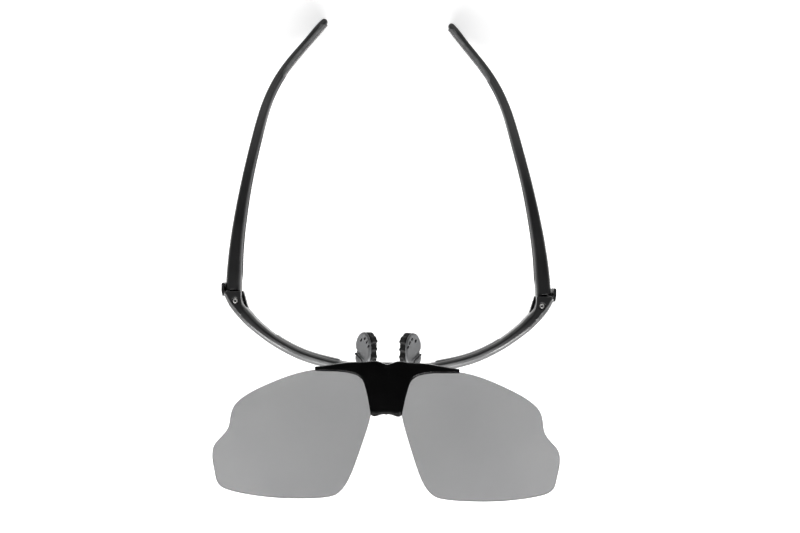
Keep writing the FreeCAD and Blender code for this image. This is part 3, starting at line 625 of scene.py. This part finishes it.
def turned(side, outline):
    """Plan points about a temple screw, given outwards and back."""
    return [(side * (SCREW[0] + outward), SCREW[1] + back) for outward, back in outline]


def ear_parts(side):
    """The cheeks about the screw, the stop tab outside the temple and the sill under it."""
    front = [(1.2, -3.6), (3.5, -0.4), (4.8, 2.2), (5.4, 4.05)]
    cheek = [(-2.3, 4.05), (-2.35, 1.2), (-2.9, -1.4), (-4.6, -5.0), (-2, -5.5)] + front
    low_cheek = [(-2.5, 4.05), (-3.4, 1.2), (-4.2, -1.6), (-5.4, -4.6), (-2, -5.5)] + front
    # The outer shoulder of the cheek slopes like the bar.
    shoulder = cheek[:-len(front)] + [(0.2, -2.8), (2.4, 0.2), (3.7, 2.6), (4.4, 4.05)]
    levels = ((cheek, EAR_BOTTOM), (cheek, CHEEK_SHOULDER), (shoulder, EAR_TOP))
    tab = [(4.75, 2.0), (5.5, 2.0), (5.95, 4.4), (5.9, 7.2), (5.4, 7.7), (4.75, 7.4)]
    tab_foot = [(4.5, 3.9), (5.2, 3.9), (5.4, 7.4), (4.5, 7.2)]
    sill = [(-1, 2), (5.5, 2), (5.6, 5.6), (-1, 5.6)]
    return [
        skin("cheek", [[(x, y, z) for x, y in turned(side, plan)] for plan, z in levels]),
        prism("low_cheek", turned(side, low_cheek), EAR_BOTTOM, LOW_CHEEK_TOP),
        prism("tab", turned(side, tab), *TAB_LEVELS),
        prism("tab_foot", turned(side, tab_foot), TAB_LEVELS[0], LOW_CHEEK_TOP),
        prism("sill", turned(side, sill), *SILL_LEVELS),
    ]


def fold_room(side):
    """Where a folded temple swings; the beam stops short of it."""
    room = [(-3.9, -1.3), (-12, 1.0), (-12, 12), (7, 12), (7, 4.0), (0, 4.0)]
    return prism("fold_room", turned(side, room), BELOW_BAR, ABOVE_BAR)


def ear_cutters(side):
    """Slot for the temple tongue, screw hole, head recess and insert pocket."""
    centre = (side * SCREW[0], SCREW[1])
    far = 10
    slot = [(TONGUE_CORNER, far), (-far, far), (-far, -TONGUE_CORNER)]
    slot += arc((0, 0), TONGUE_CORNER, -90, 0)
    return [
        prism("slot", turned(side, slot), *TONGUE_LEVELS),
        disc("bore", centre, SCREW_HOLE_RADIUS, BELOW_BAR, ABOVE_BAR),
        disc("recess", centre, HEAD_HOLE_RADIUS, HEAD_SEAT, ABOVE_BAR),
        disc("pocket", centre, INSERT_HOLE_RADIUS, BELOW_BAR, INSERT_SEAT),
    ]


def middle_block(name, half, depth, low, high):
    """A block across the middle of the bar, from the front to the back of depth."""
    return block(name, (-half, depth[0], low), (half, depth[1], high))


def make_brow_bar():
    """One moulding: beam, flanges, ears with stop tabs, and the flat seats in the middle."""
    beam = join("brow_bar_shell", [bar_beam(), bar_flange(-1), bar_flange(1)])
    weld(beam, 0.22, 2)
    carve(beam, [fold_room(-1), fold_room(1)])
    seats = [
        middle_block("top_seat", TOP_SEAT_HALF, SEAT_DEPTH, SEAT_SPLIT, BAR_TOP),
        middle_block("low_seat", LOW_SEAT_HALF, SEAT_DEPTH, BAR_BOTTOM, SEAT_SPLIT),
    ]
    bar = join("brow_bar_shell", [beam] + seats + ear_parts(-1) + ear_parts(1))
    weld(bar, 0.2, 1)
    cleared = [
        middle_block("above_seat", TOP_SEAT_HALF, CLEARED_DEPTH, BAR_TOP, ABOVE_BAR),
        middle_block("below_seat", LOW_SEAT_HALF, CLEARED_DEPTH, BELOW_BAR, BAR_BOTTOM),
    ]
    carve(bar, cleared + ear_cutters(-1) + ear_cutters(1))
    weld(bar, 0.2, 3)
    finish_piece(bar, "front_frame", "satin_nylon", "brow_bar")


# ---------------------------------------------------------------- lens carrier

STEM_HALF = 5.6
# The front lip of the stem draws back by the sag towards its middle.
LIP_SAG = 0.55
LIP_HALF = 5.5
# Distance behind the lip, width and height of the bead and of the channel behind it.
LIP_BEAD = (0.75, 0.28, 0.22)
LIP_CHANNEL = (1.45, 0.35, 0.28)
BOSSES = ((-5.4, -63.6), (5.4, -63.6))
BOSS_WIDTH, BOSS_HEIGHT = 0.592, 0.25
# Place and width of each sink mark.
SINK_MARKS = ((0.5, -47.6, 0.9), (-1.5, -62.2, 0.45), (-0.2, -62.2, 0.45))
SINK_DEPTH = 0.16
WING_START, WING_BACK = 8.5, -48.0
WING_RIM, RIM_DROP = 0.45, 0.3
SADDLE_BACK, SADDLE_DEPTH = -44.6, 0.25


def edge_distance(places, normals):
    """Plan distance of each vertex from the nearest upright wall of its piece."""
    walls = places[np.abs(normals[:, 2]) < 0.3]
    tree = KDTree(len(walls))
    for index, place in enumerate(walls):
        tree.insert((place[0], place[1], 0), index)
    tree.balance()
    return np.array([tree.find((place[0], place[1], 0))[2] for place in places])


def make_bridge_cover():
    """The T-shaped cover: round edges, a beaded front lip, bosses, sink marks and lower wing rims."""
    cover = cad_copy("lens_bridge", "lens_bridge_cover")
    weld(cover, 0.2, 3)
    places, normals = points_of(cover)
    x, y, _ = places.T
    aside = np.abs(x)
    from_lip = y - node_box("lens_bridge")[0].y - LIP_SAG * (1 - ease(aside, 0, LIP_HALF))
    bead_place, bead_width, bead_height = LIP_BEAD
    channel_place, channel_width, channel_depth = LIP_CHANNEL
    bead = bead_height * ridge(from_lip, bead_place, bead_width)
    channel = channel_depth * ridge(from_lip, channel_place, channel_width)
    relief = (bead - channel) * (1 - ease(aside, STEM_HALF, STEM_HALF + 1))
    for boss_x, boss_y in BOSSES:
        relief += BOSS_HEIGHT * ridge(x, boss_x, BOSS_WIDTH) * ridge(y, boss_y, BOSS_WIDTH)
    for sink_x, sink_y, width in SINK_MARKS:
        relief -= SINK_DEPTH * ridge(x, sink_x, width) * ridge(y, sink_y, width)
    rim = 1 - ease(edge_distance(places, normals), WING_RIM, WING_RIM + 0.3)
    wing = ease(aside, WING_START, WING_START + 2) * (1 - ease(y, WING_BACK, WING_BACK + 1.5))
    saddle = SADDLE_DEPTH * ridge(x, 0, 2.4) * ridge(y, SADDLE_BACK, 1.6)
    top = ease(normals[:, 2], 0.5, 0.8)
    places[:, 2] += top * (relief - RIM_DROP * rim * wing - saddle)
    put_points(cover, places)
    finish_piece(cover, "lens_flip", "gloss_nylon", "lens_bridge")


# ---------------------------------------------------------------- temples

SPINE_STEP = 2.0
# Where along Y the inner channel fades in and out, and where the fuller inner face fades in.
CHANNEL_FRONT = (-13.0, -9.0)
CHANNEL_BACK = (44.0, 66.0)
CHANNEL_DEPTH = 0.5
BELLY_FRONT = (-14.0, -8.0)
BELLY_SWELLING = 0.42
# The rubber strip lies this far inside the middle of the arm, in half widths, and its front end slants.
STRIP_EDGE = 0.12
STRIP_SLANT = 4.0
# It stops this far short of the tip's end.
STRIP_END = 3.0
LOZENGE_PITCH = 1.5
LOZENGE_LEAN = 1.2
LOZENGE_DEPTH = 0.22
PAD_SINK = 0.3


def spine(piece, axis):
    """Middle line of a long piece against Y: Y marks, middles and half widths along an axis."""
    places, _ = points_of(piece)
    first, last = places[:, 1].min() + SPINE_STEP, places[:, 1].max() - SPINE_STEP
    marks = np.arange(first, last, SPINE_STEP)
    middles, halves = [], []
    for mark in marks:
        near = places[np.abs(places[:, 1] - mark) < SPINE_STEP / 2][:, axis]
        middles.append((near.max() + near.min()) / 2)
        halves.append((near.max() - near.min()) / 2)
    return marks, np.array(middles), np.array(halves)


def rubber_strip(arm, side, pad_start):
    """Gives the inner part of the tip's top the rubber of its pad."""
    marks, middles, halves = spine(arm, 0)
    count = len(arm.data.polygons)
    centres = np.zeros(count * 3)
    arm.data.polygons.foreach_get("center", centres)
    x, y, _ = (centres.reshape(-1, 3) / MM).T
    inwards = -side * (x - np.interp(y, marks, middles)) / np.interp(y, marks, halves)
    start = pad_start + STRIP_SLANT * (1 - inwards)
    strip = (inwards > STRIP_EDGE) & (y > start) & (y < y.max() - STRIP_END)
    arm.data.materials.append(MATERIALS["tip_rubber"])
    arm.data.polygons.foreach_set("material_index", strip.astype(int))


def make_temple(side_name, side):
    """An arm with a full inner face, a long channel along it and rubber on its tip."""
    node = "temple_" + side_name
    arm = cad_copy(node, "temple_shell_" + side_name)
    weld(arm, 0.22, 3)
    marks, middles, halves = spine(arm, 2)
    places, normals = points_of(arm)
    y, z = places[:, 1], places[:, 2]
    height = (z - np.interp(y, marks, middles)) / np.interp(y, marks, halves)
    inward = -side * normals[:, 0]
    along = ease(y, *CHANNEL_FRONT) * (1 - ease(y, *CHANNEL_BACK))
    channel = (1 - ease(np.abs(height + 0.05), 0.42, 0.56)) * along * ease(inward, 0.5, 0.85)
    pad_start = node_box("tip_pad_" + side_name)[0].y
    belly = ease(y, *BELLY_FRONT) * (1 - ease(y, pad_start + 1, pad_start + 6))
    swelling = BELLY_SWELLING * belly * ease(inward, 0.2, 0.6)
    places += normals * (swelling - CHANNEL_DEPTH * channel)[:, None]
    put_points(arm, places)
    finish_piece(arm, "temple_arm_" + side_name, "frame_nylon", node)
    rubber_strip(arm, side, pad_start)


def make_tip_pad(side_name, side):
    """Rubber pad on the inner face of a tip, with rows of small lozenges moulded into it."""
    node = "tip_pad_" + side_name
    pad = cad_copy(node, "tip_rubber_" + side_name)
    weld(pad, 0.13, 2)
    places, normals = points_of(pad)
    y, z = places[:, 1], places[:, 2]
    low, high = node_box(node)
    ends = ease(y, low.y, low.y + 5) * (1 - ease(y, high.y - 2, high.y))
    inward = ease(-side * normals[:, 0], 0.3, 0.7)
    one = np.sin(2 * math.pi * (y + z * LOZENGE_LEAN) / LOZENGE_PITCH)
    two = np.sin(2 * math.pi * (y - z * LOZENGE_LEAN) / LOZENGE_PITCH)
    relief = LOZENGE_DEPTH * (ease(one * two, -0.2, 0.35) - 1.0) * ends
    sink = PAD_SINK * (2 - ease(y, low.y, low.y + 4))
    places += normals * ((relief - sink) * inward)[:, None]
    put_points(pad, places)
    finish_piece(pad, "temple_arm_" + side_name, "tip_rubber", node)


# ---------------------------------------------------------------- nose pads

# A pad is drawn flat: outwards across it and back, with depth under its grey face.
PAD_MIDDLE = Vector((11.55, -41.0, 6.83))
PAD_TILT = math.radians(50)
# Runs from the back end along the outer edge to the front, and back along the inner edge.
SHELL_OUTLINE = [
    (-1.5, 7.0), (1.2, 6.6), (3.2, 4.9), (4.4, 2.4), (4.45, 0.3), (3.8, -1.1), (4.6, -2.6),
    (4.7, -5.0), (3.4, -7.0), (0.8, -7.8), (-2.0, -7.2), (-3.9, -5.0), (-4.5, -2.0), (-4.5, 1.5),
    (-3.8, 4.6),
]
# Middle of each slot in the face, outwards and back, and its length.
FACE_SLOTS = [(-1.9, 4.5, 1.5), (-3.4, 3.1, 1.8), (-4.5, 1.2, 1.6), (0.7, 3.7, 1.7)]
SLOT_LEAN = math.radians(-28)
SLOT_HALF = 0.5
SLOT_DEPTHS = (-1.0, 1.4)
SHELL_DEPTH = 1.1
INNER_SPREAD = 1.18
# A layer's inset shrinks the outline by its share of this reach.
PAD_REACH = 6.0
# The arm lies on the pad along a line through its foot that runs outwards and leans back.
ARM_FOOT = (-0.2, -5.2)
ARM_LEAN = math.radians(33)
BED_WIDTH, BED_DEPTH = 0.9, 0.5
SCORE_PLACE, SCORE_WIDTH, SCORE_DEPTH = 1.35, 0.2, 0.16
DISH_HALF_WIDTH, DISH_HALF_LENGTH, DISH_DEPTH = 4.6, 7.4, 0.25
# The cushion's inner edge waves at the full pitch, and its ribs repeat at half of it.
WAVE_PITCH = 3.4
WAVE_EDGE, WAVE_HEIGHT = -4.5, 0.3
WAVE_START, WAVE_STEP, WAVE_COUNT = -5.2, 1.19, 9
RIB_DEPTH = 0.22


def pad_point(side, across, back, depth):
    """Place of a point that is given on the flat pad."""
    x = across * math.cos(PAD_TILT) - depth * math.sin(PAD_TILT)
    z = -across * math.sin(PAD_TILT) - depth * math.cos(PAD_TILT)
    return side * (PAD_MIDDLE.x + x), PAD_MIDDLE.y + back, PAD_MIDDLE.z + z


def flat_coordinates(side, places):
    """Across, back and depth on the flat pad of many places."""
    x = side * places[:, 0] - PAD_MIDDLE.x
    z = places[:, 2] - PAD_MIDDLE.z
    across = x * math.cos(PAD_TILT) - z * math.sin(PAD_TILT)
    depth = -x * math.sin(PAD_TILT) - z * math.cos(PAD_TILT)
    return across, places[:, 1] - PAD_MIDDLE.y, depth


def smooth_loop(points, per_run=6):
    """A closed smooth curve through points."""
    line = smooth_line(points[-2:] + points + points[:2], per_run)
    return line[2 * per_run : (2 + len(points)) * per_run]


def spread_inwards(outline):
    """An outline whose part towards the nose reaches a little further than drawn."""
    return [(x * INNER_SPREAD if x < 0 else x, y) for x, y in outline]


def pad_body(name, side, outline, layers):
    """A pad part from its outline; each layer is a depth and how far the outline draws in there."""
    rings = []
    for depth, inset in layers:
        share = 1 - inset / PAD_REACH
        rings.append([pad_point(side, x * share, y * share, depth) for x, y in outline])
    return skin(name, rings)


def slot_bar(side, across, back, length):
    """A long round-ended bar through the face."""
    straight = length / 2 - SLOT_HALF
    flat = arc((0, straight), SLOT_HALF, 0, 180, 8) + arc((0, -straight), SLOT_HALF, 180, 360, 8)
    ring = []
    for x, y in flat:
        turned_x = x * math.cos(SLOT_LEAN) - y * math.sin(SLOT_LEAN)
        turned_y = x * math.sin(SLOT_LEAN) + y * math.cos(SLOT_LEAN)
        ring.append((across + side * turned_x, back + turned_y))
    return skin("slot", [[pad_point(side, x, y, depth) for x, y in ring] for depth in SLOT_DEPTHS])


def make_pad_shell(side_name, side):
    """Grey back of a nose pad: a shallow dish with slots, a bed for the arm and a score beside it."""
    outline = smooth_loop(spread_inwards(SHELL_OUTLINE))
    layers = [(SHELL_DEPTH, 0.0), (0.45, 0.0), (0.15, 0.25), (0.0, 0.7)]
    shell = pad_body("pad_back_" + side_name, side, outline, layers)
    weld(shell, 0.14, 2)
    carve(shell, [slot_bar(side, *place) for place in FACE_SLOTS])
    weld(shell, 0.12, 2)
    places, _ = points_of(shell)
    across, back, depth = flat_coordinates(side, places)
    face = 1 - ease(depth, 0.4, 0.8)
    past_foot, aside = back - ARM_FOOT[1], across - ARM_FOOT[0]
    from_arm = past_foot * math.cos(ARM_LEAN) - aside * math.sin(ARM_LEAN)
    bed = BED_DEPTH * ridge(from_arm, 0, BED_WIDTH)
    score = SCORE_DEPTH * ridge(from_arm, SCORE_PLACE, SCORE_WIDTH)
    crosswise = (1 - (across / DISH_HALF_WIDTH) ** 2).clip(0, 1)
    lengthwise = (1 - (back / DISH_HALF_LENGTH) ** 2).clip(0, 1)
    sunk = (bed + score + DISH_DEPTH * crosswise * lengthwise) * face
    places[:, 0] -= side * math.sin(PAD_TILT) * sunk
    places[:, 2] -= math.cos(PAD_TILT) * sunk
    put_points(shell, places)
    finish_piece(shell, "front_frame", "grey_nylon", "nose_pad_shell_" + side_name)


def cushion_outline():
    """The shell's outline with a wavy inner edge."""
    waves = []
    for step in range(WAVE_COUNT):
        back = WAVE_START + step * WAVE_STEP
        waves.append((WAVE_EDGE - WAVE_HEIGHT * math.cos(2 * math.pi * back / WAVE_PITCH), back))
    before_waves = SHELL_OUTLINE[:11]
    return before_waves + waves + [(-3.6, 5.4)]


def make_cushion(side_name, side):
    """Soft silicone under the grey back: rounded edges, and grip ribs across the skin side."""
    layers = [(SHELL_DEPTH, 0.3), (1.5, 0.1), (2.2, 0.0), (4.1, 0.0), (4.6, 0.25), (4.8, 0.9)]
    outline = smooth_loop(spread_inwards(cushion_outline()), 4)
    cushion = pad_body("pad_cushion_" + side_name, side, outline, layers)
    weld(cushion, 0.14, 3)
    places, normals = points_of(cushion)
    _, back, depth = flat_coordinates(side, places)
    ribs = 0.5 - 0.5 * np.cos(2 * math.pi * back / (WAVE_PITCH / 2))
    where = ease(depth, 1.6, 2.4) * (1 - ease(np.abs(back), 5.8, 7.0))
    places -= normals * (RIB_DEPTH * ribs * where)[:, None]
    put_points(cushion, places)
    finish_piece(cushion, "front_frame", "black_silicone", "nose_pad_cushion_" + side_name)


# ---------------------------------------------------------------- screws

HEAD_RADIUS = 1.15
# The head's rim lies this much lower than its middle.
DOME_DROP = 0.4
# The socket's painted shade covers faces this near the middle and this deep below the top of the head.
SOCKET_REACH = 0.52
SOCKET_DEPTH = 0.8


def make_hinge_screw(side_name):
    """The CAD screw with a domed head; its socket is painted dark, a painted shade for the recess."""
    node = "hinge_screw_" + side_name
    low, high = node_box(node)
    middle = (low + high) / 2
    screw = cad_copy(node, "hinge_screw_turned_" + side_name)
    weld(screw, 0.055, 3)
    places, _ = points_of(screw)
    radius = np.hypot(places[:, 0] - middle.x, places[:, 1] - middle.y)
    top = ease(places[:, 2], high.z - 0.5, high.z - 0.2)
    places[:, 2] -= top * DOME_DROP * (radius / HEAD_RADIUS) ** 2
    put_points(screw, places)
    finish_piece(screw, "front_frame", "steel", node)
    # Faces inside the socket get the dark painted shade.
    screw.data.materials.append(MATERIALS["socket_painted_shade"])
    for face in screw.data.polygons:
        place = face.center / MM
        from_middle = math.hypot(place.x - middle.x, place.y - middle.y)
        if place.z > high.z - SOCKET_DEPTH and from_middle < SOCKET_REACH:
            face.material_index = 1


make_camera()
make_lights()
make_floor()
dress_cad_nodes()
hide_lens_shadows()
make_brow_bar()
make_bridge_cover()
for side_name, side in SIDES:
    make_temple(side_name, side)
    make_tip_pad(side_name, side)
    make_pad_shell(side_name, side)
    make_cushion(side_name, side)
    make_hinge_screw(side_name)
